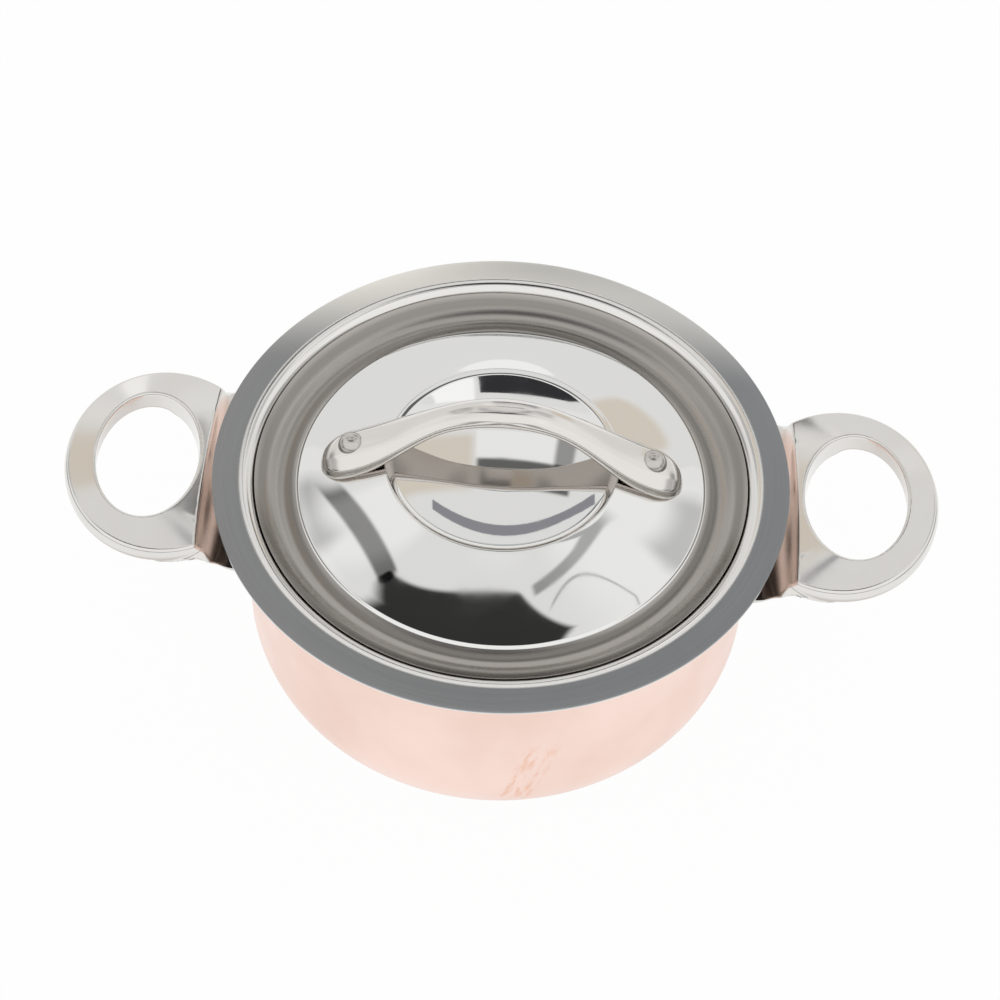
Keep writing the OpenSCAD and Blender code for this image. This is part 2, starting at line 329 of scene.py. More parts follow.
@dataclass(frozen=True)
class CopperFinish(Metal):
    """Satin copper with faint rings, a cloudy tone and slanting brown smears at the front."""

    name: str = "copper"
    colour: Colour = (0.99, 0.765, 0.685)
    roughness: float = 0.30
    cloud_colour: Colour = (0.93, 0.69, 0.60)
    cloud_fade: Fade = (0.35, 0.75)
    cloud_swing: float = 0.08
    ring_swing: float = 0.06
    relief: float = 0.00004
    smear_colour: Colour = (0.88, 0.50, 0.34)
    smear_share: float = 0.60
    smear_slant: float = 0.28
    smear_fine: tuple = (450.0, 60.0, 120.0)
    smear_fade: Fade = (0.45, 0.62)
    smear_x: Band = (-0.001, 0.010, 0.004)
    smear_y: Fade = (-0.03, -0.05)
    smear_z: Band = (0.021, 0.054, 0.008)

    def make(self) -> bpy.types.Material:
        """Builds the material.

        Returns:
            The material.
        """
        g = self.graph()
        grain, _, (x, y, z) = self.rings(g, fine=900.0)
        cloud = g.noise(g.place(), scale=22.0, detail=3.0, rough=0.55)
        tone = g.mix(cloud.step(*self.cloud_fade), self.colour, self.cloud_colour)
        across = x - z * self.smear_slant
        fine_x, fine_y, fine_z = self.smear_fine
        where = g.vector(across * fine_x, y * fine_y, z * fine_z)
        streaks = g.noise(where, scale=1.0, detail=4.0, rough=0.6).step(*self.smear_fade)
        patch = across.band(*self.smear_x) * y.step(*self.smear_y) * z.band(*self.smear_z)
        tone = g.mix(patch * streaks * self.smear_share, tone, self.smear_colour)
        rough = self.roughness + cloud.swing(self.cloud_swing) + grain.swing(self.ring_swing)
        normal = g.bump(grain, self.relief, strength=0.25)
        return self.close(g, Base_Color=tone, Roughness=rough, Normal=normal)


@dataclass(frozen=True)
class LiningFinish(Metal):
    """Steel that is brushed in circles on the flat rim and polished on the lip. The rim's dark tone is
    partly painted reflection, and its back half is painted nearly white as painted reflection.
    """

    name: str = "lining_steel"
    # Dark tone of the flat rim: partly the steel's own colour, partly painted reflection of dark
    # surroundings.
    colour: Colour = (0.27, 0.28, 0.29)
    roughness: float = 0.34
    anisotropic: float = 0.5
    light_colour: Colour = (0.34, 0.35, 0.36)
    # Painted reflection: the back half of the flat rim is painted nearly white, lighter than the front.
    painted_reflection_colour: Colour = (0.93, 0.92, 0.88)
    painted_reflection_y: Fade = (0.042, 0.090)
    lip_colour: Colour = (0.80, 0.79, 0.77)
    lip_roughness: float = 0.12
    scratch_swing: float = 0.06
    flat_r: Fade = (0.0905, 0.0912)
    flat_z: Fade = (0.0930, 0.0936)
    relief: float = 0.00003

    def make(self) -> bpy.types.Material:
        """Builds the material.

        Returns:
            The material.
        """
        g = self.graph()
        grain, radius, (_, y, z) = self.rings(g, fine=1600.0)
        flat = radius.step(*self.flat_r) * z.step(*self.flat_z)
        scratch = g.noise(g.place(), scale=90.0, detail=5.0, rough=0.7)
        rough = self.lip_roughness + flat * (self.roughness - self.lip_roughness)
        tone = g.mix(grain, self.colour, self.light_colour)
        # Painted reflection: the flat rim turns nearly white towards the back, by place along Y.
        tone = g.mix(flat, self.lip_colour, g.mix(y.step(*self.painted_reflection_y), tone, self.painted_reflection_colour))
        normal = g.bump(grain * flat, self.relief, strength=0.35)
        return self.close(g, Base_Color=tone, Roughness=rough + scratch.swing(self.scratch_swing),
                          Normal=normal)


@dataclass(frozen=True)
class LidFinish(Metal):
    """Steel with a mirror dome and a satin channel round it, whose dark tone and two darker rings are
    partly the steel's own and partly painted reflection.
    """

    name: str = "lid_steel"
    colour: Colour = (0.83, 0.83, 0.82)
    roughness: float = 0.03
    anisotropic: float = 0.3
    satin_r: Fade = (0.0712, 0.0718)
    satin_roughness: float = 0.22
    wipe_fade: Fade = (0.5, 0.8)
    wipe_roughness: float = 0.05
    # Channel tone: partly the steel's own colour, partly painted reflection that darkens it.
    dark_colour: Colour = (0.38, 0.36, 0.34)
    light_colour: Colour = (0.48, 0.455, 0.43)
    # Painted reflection: colour of two dark rings in the channel, partly standing in for reflected dark
    # surroundings.
    painted_ring_colour: Colour = (0.20, 0.185, 0.17)
    inner_ring: Band = (0.0728, 0.0756, 0.0016)
    inner_share: float = 0.75
    outer_ring: Band = (0.0815, 0.0845, 0.0018)
    outer_share: float = 0.6
    relief: float = 0.00003

    def make(self) -> bpy.types.Material:
        """Builds the material.

        Returns:
            The material.
        """
        g = self.graph()
        grain, radius, _ = self.rings(g, fine=1300.0)
        satin = radius.step(*self.satin_r)
        wipe = g.noise(g.place(), scale=45.0, detail=3.0, rough=0.5).step(*self.wipe_fade)
        rough = self.roughness + satin * self.satin_roughness + wipe * self.wipe_roughness
        # Painted reflection: masks of the two dark rings in the satin channel.
        painted_rings = radius.band(*self.inner_ring) * self.inner_share
        painted_rings = painted_rings + radius.band(*self.outer_ring) * self.outer_share
        # The channel's colour: a dark tone that is partly painted reflection, with the painted rings.
        steel = g.mix(painted_rings, g.mix(grain, self.dark_colour, self.light_colour), self.painted_ring_colour)
        tone = g.mix(satin, self.colour, steel)
        normal = g.bump(grain * satin, self.relief, strength=0.3)
        return self.close(g, Base_Color=tone, Roughness=rough, Normal=normal)


@dataclass(frozen=True)
class CastFinish(Metal):
    """Cast steel, polished, with a slight swim in its surface and a darker, browner underside of painted
    shade and reflection.
    """

    swim_colour: Colour = (0.76, 0.74, 0.71)
    swim_swing: float = 0.10
    hair_fine: tuple = (300.0, 1800.0, 1800.0)
    hair_swing: float = 0.05
    # Painted shade and reflection: colour, share and slope for faces that look down.
    painted_shade_colour: Colour = (0.46, 0.40, 0.36)
    under_share: float = 0.7
    painted_shade_slope: Fade = (0.1, -0.25)
    relief: float = 0.0002

    def make(self) -> bpy.types.Material:
        """Builds the material.

        Returns:
            The material.
        """
        g = self.graph()
        place = g.place()
        swim = g.noise(place, scale=60.0, detail=2.0, rough=0.5)
        along = g.node("ShaderNodeMapping", values={"Vector": place, "Scale": self.hair_fine})
        hair = g.noise(along, scale=1.0, detail=3.0, rough=0.6)
        rough = self.roughness + swim.swing(self.swim_swing) + hair.swing(self.hair_swing)
        _, _, facing = g.split(g.node("ShaderNodeNewGeometry", output="Normal"))
        # Painted shade and reflection: faces that look down are mixed towards a darker brown.
        under = facing.step(*self.painted_shade_slope) * self.under_share
        tone = g.mix(under, g.mix(swim, self.colour, self.swim_colour), self.painted_shade_colour)
        normal = g.bump(swim, self.relief, strength=0.12)
        return self.close(g, Base_Color=tone, Roughness=rough, Normal=normal)


@dataclass(frozen=True)
class RivetFinish(Metal):
    """Satin rivet steel with fine scuffs."""

    scuff_colour: Colour = (0.62, 0.60, 0.58)
    scuff_swing: float = 0.16
    relief: float = 0.00005

    def make(self) -> bpy.types.Material:
        """Builds the material.

        Returns:
            The material.
        """
        g = self.graph()
        scuff = g.noise(g.place(), scale=700.0, detail=4.0, rough=0.65)
        tone = g.mix(scuff, self.colour, self.scuff_colour)
        normal = g.bump(scuff, self.relief, strength=0.15)
        return self.close(g, Base_Color=tone, Roughness=self.roughness + scuff.swing(self.scuff_swing),
                          Normal=normal)


# Meshes


def place_piece(name: str, points: Array, faces: Array,
                normals: Optional[Array] = None) -> bpy.types.Object:
    """Makes an object from points in millimetres.

    Args:
        name: Name of the piece.
        points: Points, one row each.
        faces: Corner numbers of the faces, three or four each; a triangle repeats its last.
        normals: Normals of the points, where they are known exactly.

    Returns:
        The object, with smooth faces that point outwards.
    """
    corners = points[faces]
    volume = np.einsum("ij,ij->i", corners[:, 0], np.cross(corners[:, 1], corners[:, 2])).sum()
    volume += np.einsum("ij,ij->i", corners[:, 0], np.cross(corners[:, 2], corners[:, 3])).sum()
    if volume < 0:
        faces = faces[:, ::-1]
    rows = [list(dict.fromkeys(row)) for row in faces.tolist()]
    mesh = bpy.data.meshes.new(name)
    mesh.from_pydata((points * MM).tolist(), [], rows)
    mesh.polygons.foreach_set("use_smooth", np.ones(len(rows), dtype=bool))
    if normals is not None:
        mesh.normals_split_custom_set_from_vertices(normals.tolist())
    mesh.update()
    piece = bpy.data.objects.new(name, mesh)
    bpy.context.scene.collection.objects.link(piece)
    LOG.info("%s: %d points, %d faces", name, len(points), len(rows))
    return piece


def dress(piece: bpy.types.Object, finish: bpy.types.Material, body: Body, slot: Slot,
          *nodes: str) -> None:
    """Gives a piece its finish, its body and the nodes that it stands for.

    Args:
        piece: The piece.
        finish: Its material.
        body: Body that it rides on.
        slot: Material slot; not used.
        nodes: Nodes of the frame that it replaces.
    """
    piece.data.materials.append(finish)
    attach(piece, body.value)
    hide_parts(*nodes)


def join_parts(parts: Sequence[tuple]) -> tuple:
    """Joins several point and face arrays.

    Args:
        parts: Pairs of points and faces.

    Returns:
        The joined points and faces.
    """
    points, faces, count = [], [], 0
    for part_points, part_faces in parts:
        points.append(part_points)
        faces.append(part_faces + count)
        count += len(part_points)
    return np.concatenate(points), np.concatenate(faces)


def skin(rings: Array, ends: Sequence) -> tuple:
    """Closes a stack of rings into one surface, with a point in the middle of each end.

    Args:
        rings: Points of the rings, as many in each.
        ends: The two end points.

    Returns:
        The points and faces.
    """
    count = rings.shape[1]
    points = np.concatenate([rings.reshape(-1, 3), ends])
    at = np.arange(rings.shape[0] * count).reshape(-1, count)
    nxt = np.roll(at, -1, 1)
    quads = np.stack([at[:-1], nxt[:-1], nxt[1:], at[1:]], 2).reshape(-1, 4)
    low, high = np.full(count, len(points) - 2), np.full(count, len(points) - 1)
    first = np.stack([low, nxt[0], at[0], at[0]], 1)
    last = np.stack([high, at[-1], nxt[-1], nxt[-1]], 1)
    return points, np.concatenate([first, quads, last])


def lathe(outline: Array, segments: int) -> tuple:
    """Turns an outline that begins and ends on the axis.

    Args:
        outline: Points of radius and height.
        segments: Steps round the axis.

    Returns:
        The points and faces.
    """
    body = outline[1:-1]
    angles = 2 * np.pi * np.arange(segments) / segments
    ring = np.stack([np.cos(angles), np.sin(angles)], 1)
    heights = np.repeat(body[:, None, 1:], segments, 1)
    walls = np.concatenate([body[:, None, :1] * ring[None], heights], 2)
    return skin(walls, [[0, 0, outline[0][1]], [0, 0, outline[-1][1]]])


def arc(centre: tuple, radius: float, start: float, end: float, steps: int = 24) -> list:
    """Points of an arc between two angles in degrees."""
    angles = np.radians(np.linspace(start, end, steps + 1))
    return [(centre[0] + radius * math.cos(a), centre[1] + radius * math.sin(a)) for a in angles]


def run_of(line: Array) -> Array:
    """Distance along a line from its start to each of its points."""
    return np.concatenate([[0], np.cumsum(np.linalg.norm(np.diff(line, axis=0), axis=1))])


def points_at(line: Array, run: Array, along: Array) -> Array:
    """Points of a flat line at other distances along it than its own."""
    return np.stack([np.interp(along, run, line[:, i]) for i in range(2)], 1)


def bell(reach: int, spread: float) -> tuple:
    """Weights of a bell curve.

    Args:
        reach: Steps to each side of its middle.
        spread: Steps to where it has fallen to six tenths.

    Returns:
        The steps and their weights, which sum to 1.
    """
    steps = np.arange(-reach, reach + 1)
    weights = np.exp(-0.5 * (steps / spread) ** 2)
    return steps, weights / weights.sum()


def eased(outline: Sequence[tuple], blur: float, turn: float = 2.5, reach: float = 4.0) -> Array:
    """Rounds an outline's corners and thins its points.

    Args:
        outline: Points of radius and height, from the axis back to the axis.
        blur: Spread of the rounding in millimetres.
        turn: Most degrees between kept points.
        reach: Most millimetres between kept points.

    Returns:
        The points that are kept.
    """
    fineness, spreads, pad = 4, 4, 24
    step = blur / fineness
    raw = np.array(outline, float)
    run = run_of(raw)
    fine = points_at(raw, run, np.linspace(0, run[-1], int(run[-1] / step) + 1))
    flip = np.array([-1.0, 1.0])
    padded = np.concatenate([fine[pad:0:-1] * flip, fine, fine[-2:-pad - 2:-1] * flip])
    _, weights = bell(spreads * fineness, fineness)
    smooth = np.stack([np.convolve(padded[:, i], weights, "same") for i in range(2)], 1)[pad:-pad]
    smooth[0, 0] = smooth[-1, 0] = 0.0
    ways = np.unwrap(np.arctan2(*np.diff(smooth, axis=0).T[::-1]))
    kept, last_way, last = [0], ways[0], 0
    for i in range(1, len(smooth) - 1):
        if abs(ways[i] - last_way) > math.radians(turn) or (i - last) * step > reach:
            kept.append(i)
            last_way, last = ways[i], i
    return smooth[kept + [len(smooth) - 1]]


# Fields of distances, for the shape of the loop handles


def smooth_most(a: Array, b: Array, width: float) -> Array:
    """The larger of two fields, with a fillet of about that width where they meet."""
    share = np.maximum(width - np.abs(a - b), 0) / width
    return np.maximum(a, b) + share * share * width / 4


def smooth_least(a: Array, b: Array, width: float) -> Array:
    """The smaller of two fields, with a fillet of about that width where they meet."""
    return -smooth_most(-a, -b, width)


def from_oval(x: Array, y: Array, out: float, back: float, side: float) -> Array:
    """Distance outside an oval, negative inside it.

    Args:
        x: Places along the oval, from its widest line.
        y: Places across it.
        out: Half length on the +X side.
        back: Half length on the -X side.
        side: Half width.

    Returns:
        The distances, exact at the oval's edge.
    """
    half = np.where(x > 0, out, back)
    size = np.hypot(x / half, y / side)
    return (size - 1) * size / np.maximum(np.hypot(x / half ** 2, y / side ** 2), TINY)


def unit(ways: Array) -> Array:
    """Rows scaled to length 1."""
    return ways / np.maximum(np.linalg.norm(ways, axis=1, keepdims=True), TINY)


# The pan


@dataclass
class Pan:
    """Copper shell and steel lining."""

    rim_r: float = 100.0
    height: float = 94.0
    wall_r: float = 90.0
    base_round: float = 31.0
    copper_t: float = 3.0
    steel_t: float = 1.5
    lip_round: float = 5.2
    rim_clearance: float = 0.05
    shell_ease: float = 0.25
    lining_ease: float = 0.22
    segments: int = 320

    @property
    def inner_r(self) -> float:
        """Radius of the lining's inside."""
        return self.wall_r - self.copper_t - self.steel_t

    @property
    def flat_r(self) -> float:
        """Radius at which the flat rim begins."""
        return self.inner_r + self.lip_round

    @property
    def steel_low(self) -> float:
        """Height of the flat rim's underside."""
        return self.height - self.steel_t

    def base_arc(self, depth: float) -> list:
        """Round of the base at a depth inside the copper's outside."""
        centre = (self.wall_r - self.base_round, self.base_round)
        return arc(centre, self.base_round - depth, -90, 0)

    def bowl(self, depth: float) -> list:
        """Shape of the pan at a depth inside the copper's outside, up to the lip.

        Args:
            depth: Depth below the outside.

        Returns:
            Points of radius and height, from the axis outwards.
        """
        lip = (self.flat_r, self.height - self.lip_round)
        lip_r = self.lip_round - self.copper_t - self.steel_t + depth
        return [(0.0, depth)] + self.base_arc(depth) + arc(lip, lip_r, 180, 90)

    def build_shell(self) -> bpy.types.Object:
        """Builds the copper shell.

        Returns:
            The piece.
        """
        outside = [(0.0, 0.0)] + self.base_arc(0.0)
        outside.append((self.wall_r, self.steel_low - self.rim_clearance))
        inside = [point for point in self.bowl(self.copper_t) if point[0] <= self.wall_r]
        outline = eased(outside + inside[::-1], self.shell_ease)
        return place_piece("copper_shell", *lathe(outline, self.segments))

    def build_lining(self) -> bpy.types.Object:
        """Builds the steel lining with its rim.

        Returns:
            The piece.
        """
        outside = self.bowl(self.copper_t)
        inside = self.bowl(self.copper_t + self.steel_t)
        edge = [(self.rim_r, self.steel_low), (self.rim_r, self.height)]
        outline = eased(outside + edge + inside[::-1], self.lining_ease)
        return place_piece("steel_lining", *lathe(outline, self.segments))

    def make(self) -> None:
        """Builds and dresses both."""
        dress(self.build_shell(), CopperFinish().make(), Body.PAN, Slot.COPPER, "copper_body")
        dress(self.build_lining(), LiningFinish().make(), Body.PAN, Slot.LINING, "steel_liner")


# The loop handles


@dataclass
class LoopHandle:
    """Cast loop handle with a foot that spreads on the pan's wall.

    Its surface is where a field of distances is zero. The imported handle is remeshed
    into an even net, which is drawn onto that surface and evened out along it.
    """

    pan: Pan
    rim_gap: float = 4.1
    hole_x: float = 123.4
    hole_l: float = 35.2
    hole_w: float = 54.2
    loop_x: float = 151.8
    loop_w: float = 81.4
    loop_shift: float = 5.6
    loop_bury: float = 8.0
    thick: float = 8.1
    fall: float = 1.9
    top_z: float = 90.9
    rise: float = 7.0
    foot_w: float = 79.0
    foot_top_w: float = 61.0
    foot_low_z: float = 69.45
    foot_round: float = 11.5
    foot_l: float = 27.0
    foot_fillet: float = 4.5
    foot_top_share: float = 0.2
    foot_overlap: float = 4.0
    foot_edge: float = 2.0
    foot_top_edge: float = 1.5
    scoop_z: float = 93.25
    land: float = 1.0
    swell: float = 0.8
    swell_limit: float = 1.6
    least_run: float = 2.0
    land_soft: float = 0.02
    top_scale: float = 0.93
    crease: float = 0.8
    under_edge: float = 1.8
    hole_edge: float = 1.2
    wall_edge: float = 0.3
    grain: float = 0.5
    rounds: int = 7
    seatings: int = 3
    evening: float = 0.5
    most_move: float = 0.8
    least_slope: float = 0.05
    probe: float = 0.02

    def loop(self, along: Array, y: Array, up: Array, hole: Array) -> Array:
        """Distance outside the loop, whose top falls from the hole to its edge.

        Args:
            along: Places along the loop's tilted top, from the hole's middle.
            y: Places across it.
            up: Heights over it.
            hole: Distances outside the hole.

        Returns:
            The distances.
        """
        mid = self.hole_x - self.loop_shift
        outside = from_oval(along + self.loop_shift, y, self.loop_x - mid,
                            mid - self.pan.wall_r + self.loop_bury, self.loop_w / 2)
        run = hole - self.land
        share = run / np.maximum(run - outside - self.swell, self.least_run)
        share = (share + np.sqrt(share * share + self.land_soft ** 2)) / 2
        top = (up + self.fall * share) * self.top_scale
        side_mid, side_half = -(self.thick + self.fall) / 2, (self.thick - self.fall) / 2
        bulge = np.clip((up - side_mid) / side_half, -self.swell_limit, self.swell_limit)
        loop = smooth_most(top, outside + self.swell * bulge * bulge, self.crease)
        return smooth_most(loop, -self.thick - up, self.under_edge)

    def foot(self, x: Array, y: Array, z: Array) -> Array:
        """Distance outside the foot, whose underside curves down to the wall.

        Args:
            x: Places along the handle.
            y: Places across it.
            z: Heights.

        Returns:
            The distances.
        """
        low_z = self.top_z - self.thick
        drop = low_z - self.foot_low_z
        bend = (self.foot_l ** 2 + drop ** 2) / (2 * drop)
        end = self.pan.wall_r + self.foot_l
        r = np.hypot(x, y)
        under = np.where(r < end, bend - np.hypot(r - end, z - low_z + bend), low_z - z)
        top = low_z + self.thick * self.foot_top_share
        round_z = self.foot_low_z + self.foot_round
        lean = (self.foot_w - self.foot_top_w) / 2 / (top - round_z)
        half = self.foot_w / 2 - lean * np.maximum(z - round_z, 0)
        across = np.abs(y) - half + self.foot_round
        down = round_z - z
        front = np.minimum(np.maximum(across, down), 0) - self.foot_round
        front += np.hypot(np.maximum(across, 0), np.maximum(down, 0))
        body = smooth_most(under, front, self.foot_edge)
        return smooth_most(body, np.maximum(z - top, r - end - self.foot_overlap), self.foot_top_edge)

    def field(self, p: Array) -> Array:
        """Distance outside the right handle, near its surface.

        Args:
            p: Points in millimetres, one row each.

        Returns:
            The distances, negative inside the handle.
        """
        x, y, z = p.T
        c, s = math.cos(math.radians(self.rise)), math.sin(math.radians(self.rise))
        along = (x - self.hole_x) * c + (z - self.top_z) * s
        up = (z - self.top_z) * c - (x - self.hole_x) * s
        hole = from_oval(along, y, self.hole_l / 2, self.hole_l / 2, self.hole_w / 2)
        whole = smooth_least(self.loop(along, y, up, hole), self.foot(x, y, z), self.foot_fillet)
        whole = smooth_most(whole, -hole, self.hole_edge)
        out, down = np.maximum(x - self.pan.wall_r, 0), np.minimum(z - self.scoop_z, 0)
        scoop = self.pan.rim_r + self.rim_gap - self.pan.wall_r - np.hypot(out, down)
        whole = smooth_most(whole, scoop, self.crease)
        return smooth_most(whole, self.pan.wall_r - np.hypot(x, y), self.wall_edge)

    def slopes(self, p: Array) -> Array:
        """Slope of the field at each point, which is square to the surface.

        Args:
            p: Points in millimetres, one row each.

        Returns:
            The slopes, one row each.
        """
        steps = self.probe * np.eye(3)
        return np.stack([self.field(p + e) - self.field(p - e) for e in steps], 1) / (2 * self.probe)

    def seated(self, points: Array) -> Array:
        """Draws points onto the surface.

        Args:
            points: Points near it.

        Returns:
            The drawn points.
        """
        for _ in range(self.seatings):
            slope = self.slopes(points)
            size = np.maximum((slope * slope).sum(1, keepdims=True), self.least_slope)
            move = np.clip(self.field(points)[:, None] / size, -self.most_move, self.most_move)
            points = points - move * slope
        return points

    def net(self) -> tuple:
        """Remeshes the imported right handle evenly.

        Returns:
            The points in millimetres and the faces.
        """
        source = bpy.data.objects["right_handle"]
        blank = bpy.data.objects.new("handle_blank", source.data.copy())
        bpy.context.scene.collection.objects.link(blank)
        remesh = blank.modifiers.new("remesh", "REMESH")
        remesh.mode = "VOXEL"
        remesh.voxel_size = self.grain * MM
        evaluated = blank.evaluated_get(bpy.context.evaluated_depsgraph_get()).data
        points = np.zeros(len(evaluated.vertices) * 3)
        evaluated.vertices.foreach_get("co", points)
        faces = np.array([list(face.vertices) + list(face.vertices)[-1:] * (4 - len(face.vertices))
                          for face in evaluated.polygons])
        bpy.data.objects.remove(blank)
        return points.reshape(-1, 3) / MM, faces

    def build(self) -> tuple:
        """Builds the right handle's surface.

        Returns:
            Its points, faces and normals.
        """
        points, faces = self.net()
        pairs = np.concatenate([faces[:, [i, (i + 1) % 4]] for i in range(4)])
        pairs = np.concatenate([pairs, pairs[:, ::-1]])
        pairs = np.unique(pairs[pairs[:, 0] != pairs[:, 1]], axis=0)
        here, there = pairs.T
        count = np.bincount(here, minlength=len(points))[:, None]
        points = self.seated(points)
        for _ in range(self.rounds):
            total = np.stack([np.bincount(here, points[there, i], len(points)) for i in range(3)], 1)
            pull = total / count - points
            way = unit(self.slopes(points))
            pull -= (pull * way).sum(1, keepdims=True) * way
            points = self.seated(points + self.evening * pull)
        return points, faces, unit(self.slopes(points))

    def make(self) -> None:
        """Builds and dresses both handles, the left one being the right one turned round."""
        cast = CastFinish("cast_steel", (0.80, 0.79, 0.77), 0.13).make()
        points, faces, ways = self.build()
        turn = np.array([-1.0, -1.0, 1.0])
        right = place_piece("right_loop_handle", points, faces, ways)
        left = place_piece("left_loop_handle", points * turn, faces, ways * turn)
        dress(right, cast, Body.PAN, Slot.CAST, "right_handle")
        dress(left, cast, Body.PAN, Slot.CAST, "left_handle")


# The rivets


@dataclass
class Rivet:
    """Domed rivet, turned about its own axis."""

    head_d: float
    head_t: float
    shank_d: float
    shank_l: float
    tail_d: float = 0.0
    tail_t: float = 0.0
    ease: float = 0.18
    ease_turn: float = 4.0
    ease_reach: float = 1.0
    head_steps: int = 12
    segments: int = 64

    def build(self, place: Matrix) -> tuple:
        """Builds the rivet with its head's seat at the place's origin.

        Args:
            place: Where the seat is, in millimetres, with Z along the rivet.

        Returns:
            The points and faces.
        """
        r = (self.head_d ** 2 / 4 + self.head_t ** 2) / (2 * self.head_t)
        spread = math.degrees(math.asin(self.head_d / 2 / r))
        outline = [(0.0, -self.shank_l)]
        if self.tail_d:
            tail_z = -self.shank_l - self.tail_t
            outline = [(0.0, tail_z), (self.tail_d / 2, tail_z), (self.tail_d / 2, -self.shank_l)]
        outline += [(self.shank_d / 2, -self.shank_l), (self.shank_d / 2, 0.0), (self.head_d / 2, 0.0)]
        outline += arc((0.0, self.head_t - r), r, 90 - spread, 90, self.head_steps)
        outline[-1] = (0.0, self.head_t)
        points, faces = lathe(eased(outline, self.ease, self.ease_turn, self.ease_reach), self.segments)
        return points @ np.array(place.to_3x3()).T + np.array(place.translation), faces


@dataclass
class WallRivets:
    """Rivets through the pan's wall into the handles' feet."""

    pan: Pan
    span: float = 36.0
    height: float = 76.24
    head_d: float = 12.0
    head_t: float = 2.2
    shank_d: float = 4.4
    reach: float = 3.4

    def make(self) -> None:
        """Builds and dresses the rivets of both handles."""
        finish = RivetFinish("wall_rivet_steel", (0.72, 0.71, 0.70), 0.26).make()
        angle = math.asin(self.span / 2 / self.pan.wall_r)
        shank_l = self.pan.wall_r + self.reach - self.pan.inner_r
        rivet = Rivet(self.head_d, self.head_t, self.shank_d, shank_l)
        seat = Matrix.Translation((self.pan.inner_r, 0, self.height))
        inwards = Matrix.Rotation(-math.pi / 2, 4, "Y")
        for side, turn in (("right", 0.0), ("left", math.pi)):
            parts = [rivet.build(Matrix.Rotation(turn + sign * angle, 4, "Z") @ seat @ inwards)
                     for sign in (-1, 1)]
            piece = place_piece(f"{side}_wall_rivets", *join_parts(parts))
            dress(piece, finish, Body.PAN, Slot.RIVET, f"{side}_handle_rivets")


# The lid


@dataclass
class Lid:
    """Pressed sheet with a channel, a small step up to the dome, a groove and a raised middle."""

    pan: Pan
    edge_r: float = 85.7
    edge_drop: float = 3.2
    thick: float = 1.0
    channel_sag: float = 2.5
    channel_w: float = 14.1
    band_w: float = 0.9
    band_fall: float = 0.8
    dome_drop: float = 5.7
    dome_h: float = 6.6
    dome_w: float = 30.2
    dome_bend: float = -0.2
    groove_w: float = 2.6
    groove_t: float = 0.4
    crown_h: float = 3.6
    run_step: float = 0.1
    ease: float = 0.22
    ease_turn: float = 1.2
    ease_reach: float = 3.0
    segments: int = 320

    def __post_init__(self) -> None:
        """Works out the radii of the lid and the dome's slope in degrees."""
        self.band_r = self.edge_r - self.channel_w
        self.dome_r = self.band_r - self.band_w
        self.cap_r = self.dome_r - self.dome_w
        self.crown_r = self.cap_r - self.groove_w
        self.slope = math.degrees(math.atan((self.dome_h + self.dome_drop) / self.dome_w))

    def face(self, r: Array) -> Array:
        """Height of the lid's upper face above the rim.

        Args:
            r: Distances from the axis.

        Returns:
            The height at each of them.
        """
        r = np.asarray(r, float)
        crown = self.dome_h - self.groove_t + self.crown_h * (1 - (r / self.crown_r) ** 2)
        t = (r - self.crown_r) / self.groove_w
        groove = self.dome_h - self.groove_t * (1 - t * t)
        t = (r - self.cap_r) / self.dome_w
        dome = self.dome_h - (self.dome_h + self.dome_drop) * (t + self.dome_bend * t * (t - 1))
        t = (r - self.dome_r) / self.band_w
        band = -self.dome_drop - self.band_fall * t * (2 - t)
        t = (r - self.band_r) / self.channel_w
        low = self.dome_drop + self.band_fall
        rise = low + self.thick - self.edge_drop
        channel = -low + rise * t - 4 * self.channel_sag * t * (1 - t)
        places = [r <= self.crown_r, r <= self.cap_r, r <= self.dome_r, r <= self.band_r]
        return np.select(places, [crown, groove, dome, band], channel)

    def build(self) -> bpy.types.Object:
        """Builds the sheet.

        Returns:
            The piece.
        """
        r = np.arange(0, self.edge_r, self.run_step)
        upper = list(zip(r, self.pan.height + self.face(r)))
        upper.append((self.edge_r, self.pan.height - self.edge_drop + self.thick))
        outline = [(radius, z - self.thick) for radius, z in upper] + upper[::-1]
        outline = eased(outline, self.ease, self.ease_turn, self.ease_reach)
        return place_piece("lid_plate", *lathe(outline, self.segments))

    def make(self) -> None:
        """Builds and dresses the sheet."""
        dress(self.build(), LidFinish().make(), Body.LID, Slot.LID, "lid")


